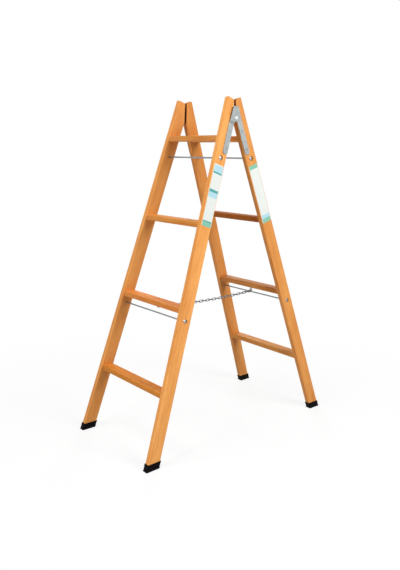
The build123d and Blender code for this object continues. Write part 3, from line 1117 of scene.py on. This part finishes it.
class LADDER_OT_labels(bpy.types.Operator):
    """Lay a plain banded label on the outer face of each right stile"""

    bl_idname = "ladder.labels"
    bl_label = "Plain labels"

    def execute(self, context):
        sizes = context.scene.ladder_sizes
        lift = Matrix.Translation((0, 0, LABEL_LIFT))
        for end, frame_side in FRAMES.items():
            place = frame_side @ on_outer_face(LABEL_HEIGHT)
            bm = rounded_plate(sizes.label_width, sizes.label_length, LABEL_CORNER, segments=5)
            film = bmesh.ops.extrude_face_region(bm, geom=list(bm.faces), use_keep_orig=True)["geom"]
            bmesh.ops.translate(bm, vec=(0, 0, sizes.label_film), verts=only(BMVert, film))
            bmesh.ops.transform(bm, matrix=place @ lift, verts=bm.verts)
            material = banded_label(f"{end} label film", place, LABEL_BANDS[end])
            add_piece(f"{end}_plain_label", bm, material, f"{end}_frame")
        return {"FINISHED"}


class LADDER_OT_stage(bpy.types.Operator):
    """Set up the pale floor, the soft lamps, the white surroundings and the camera"""

    bl_idname = "ladder.stage"
    bl_label = "Floor, lamps and camera"

    def execute(self, context):
        scene = context.scene
        scene.view_settings.view_transform = "Standard"
        self.floor(scene)
        self.world(scene)
        for lamp in LAMPS:
            self.lamp(scene, *lamp)
        self.camera(scene)
        return {"FINISHED"}

    def seen(self, paint):
        """1 where a ray comes from the camera or from a reflection, 0 where it lights the object."""
        kinds = ("Camera", "Glossy", "Transmission")
        rays = (paint.node("ShaderNodeLightPath", out=f"Is {kind} Ray") for kind in kinds)
        camera, glossy, clear = rays
        return paint.maths("MINIMUM", camera + glossy + clear, 1.0)

    def floor(self, scene):
        """A wide disc that looks white, and takes the object's soft shadow near the middle."""
        bm = bmesh.new()
        bmesh.ops.create_circle(bm, cap_ends=True, segments=96, radius=FLOOR_RADIUS)
        mesh = as_mesh("pale_floor", bm)
        material = bpy.data.materials.new("pale floor")
        material.use_nodes = True
        tree = material.node_tree
        tree.nodes.remove(tree.nodes["Principled BSDF"])
        paint = Paint(tree)
        seen = self.seen(paint)
        away = paint.node("ShaderNodeTexCoord", out="Object").vector("LENGTH", out="Value")
        white = paint.node("ShaderNodeEmission", {"Color": (1, 1, 1, 1), "Strength": 1.0})
        lit = paint.node("ShaderNodeBsdfDiffuse", {"Color": (0.9, 0.9, 0.9, 1)})
        grey = paint.node("ShaderNodeBsdfDiffuse", {"Color": (0.5, 0.5, 0.5, 1)})
        shadow = (1 - away.step(0.55, 1.5)) * 0.16
        shown = paint.node("ShaderNodeMixShader", {0: shadow, 1: white, 2: lit})
        whole = paint.node("ShaderNodeMixShader", {0: seen, 1: grey, 2: shown})
        tree.links.new(whole.socket, tree.nodes["Material Output"].inputs["Surface"])
        mesh.materials.append(material)
        disc = bpy.data.objects.new("pale_floor", mesh)
        scene.collection.objects.link(disc)

    def world(self, scene):
        """Even surroundings: white to the camera and in reflections, dim as light on the object."""
        scene.world = bpy.data.worlds.new("soft surroundings")
        scene.world.use_nodes = True
        tree = scene.world.node_tree
        background = tree.nodes["Background"]
        background.inputs["Color"].default_value = (1, 1, 1, 1)
        strength = self.seen(Paint(tree)) * (1 - SKY_LIGHT) + SKY_LIGHT
        tree.links.new(strength.socket, background.inputs["Strength"])

    def lamp(self, scene, name, around, above, size, power, glossy):
        """A square area lamp, aimed at the ladder's middle."""
        light = bpy.data.lights.new(name, "AREA")
        light.shape = "SQUARE"
        light.size = size
        light.energy = power
        lamp = bpy.data.objects.new(name, light)
        turn, rise = radians(around), radians(above)
        back = Vector((sin(turn) * cos(rise), -cos(turn) * cos(rise), sin(rise)))
        lamp.location = LAMP_AIM + back * LAMP_DISTANCE
        lamp.rotation_euler = back.to_track_quat("Z", "Y").to_euler()
        lamp.visible_glossy = glossy
        scene.collection.objects.link(lamp)

    def camera(self, scene):
        """The photograph's camera, from its place, its turns and its focal length in pixels."""
        yaw, pitch, roll = CAMERA_TURNS
        forward = Vector((-sin(yaw) * cos(pitch), cos(yaw) * cos(pitch), sin(pitch)))
        level = Vector((cos(yaw), sin(yaw), 0))
        above = level.cross(forward)
        right = level * cos(roll) + above * sin(roll)
        upward = above * cos(roll) - level * sin(roll)
        data = bpy.data.cameras.new("photo camera")
        data.sensor_width = 36.0
        data.lens = FOCAL_PIXELS / IMAGE_HEIGHT * data.sensor_width
        data.shift_x = (IMAGE_WIDTH / 2 - PRINCIPAL_X) / IMAGE_HEIGHT
        data.shift_y = (PRINCIPAL_Y - IMAGE_HEIGHT / 2) / IMAGE_HEIGHT
        camera = bpy.data.objects.new("photo camera", data)
        scene.collection.objects.link(camera)
        camera.matrix_world = placement(right, upward, -forward, CAMERA_PLACE)
        scene.camera = camera


OPERATORS = (
    LADDER_OT_boards,
    LADDER_OT_shoes,
    LADDER_OT_straps,
    LADDER_OT_screws,
    LADDER_OT_rivets,
    LADDER_OT_tie_rods,
    LADDER_OT_chain,
    LADDER_OT_labels,
    LADDER_OT_stage,
)


class LADDER_PT_panel(bpy.types.Panel):
    """Settings and steps of the stepladder"""

    bl_label = "Stepladder"
    bl_idname = "LADDER_PT_panel"
    bl_space_type = "VIEW_3D"
    bl_region_type = "UI"
    bl_category = "Stepladder"

    def draw(self, context):
        layout = self.layout
        groups = (
            ("Finishes", FinishSettings, context.scene.ladder_finish),
            ("Sizes", SizeSettings, context.scene.ladder_sizes),
        )
        for title, kind, settings in groups:
            box = layout.box()
            box.label(text=title)
            for name in kind.__annotations__:
                box.prop(settings, name)
        for operator in OPERATORS:
            layout.operator(operator.bl_idname)


CLASSES = (FinishSettings, SizeSettings, *OPERATORS, LADDER_PT_panel)


def register():
    """Register the classes and hang the settings on the scene."""
    for made in CLASSES:
        bpy.utils.register_class(made)
    bpy.types.Scene.ladder_finish = PointerProperty(
        name="Finishes", description="Colours and finishes", type=FinishSettings
    )
    bpy.types.Scene.ladder_sizes = PointerProperty(
        name="Sizes", description="Sizes of the small pieces", type=SizeSettings
    )


def unregister():
    """Take the settings and the classes away again."""
    del bpy.types.Scene.ladder_sizes
    del bpy.types.Scene.ladder_finish
    for made in reversed(CLASSES):
        bpy.utils.unregister_class(made)


def main():
    """Dress the ladder piece by piece."""
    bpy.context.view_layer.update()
    register()
    bpy.ops.ladder.boards()
    bpy.ops.ladder.shoes()
    bpy.ops.ladder.straps()
    bpy.ops.ladder.screws()
    bpy.ops.ladder.rivets()
    bpy.ops.ladder.tie_rods()
    bpy.ops.ladder.chain()
    bpy.ops.ladder.labels()
    bpy.ops.ladder.stage()


if __name__ == "__main__":
    main()
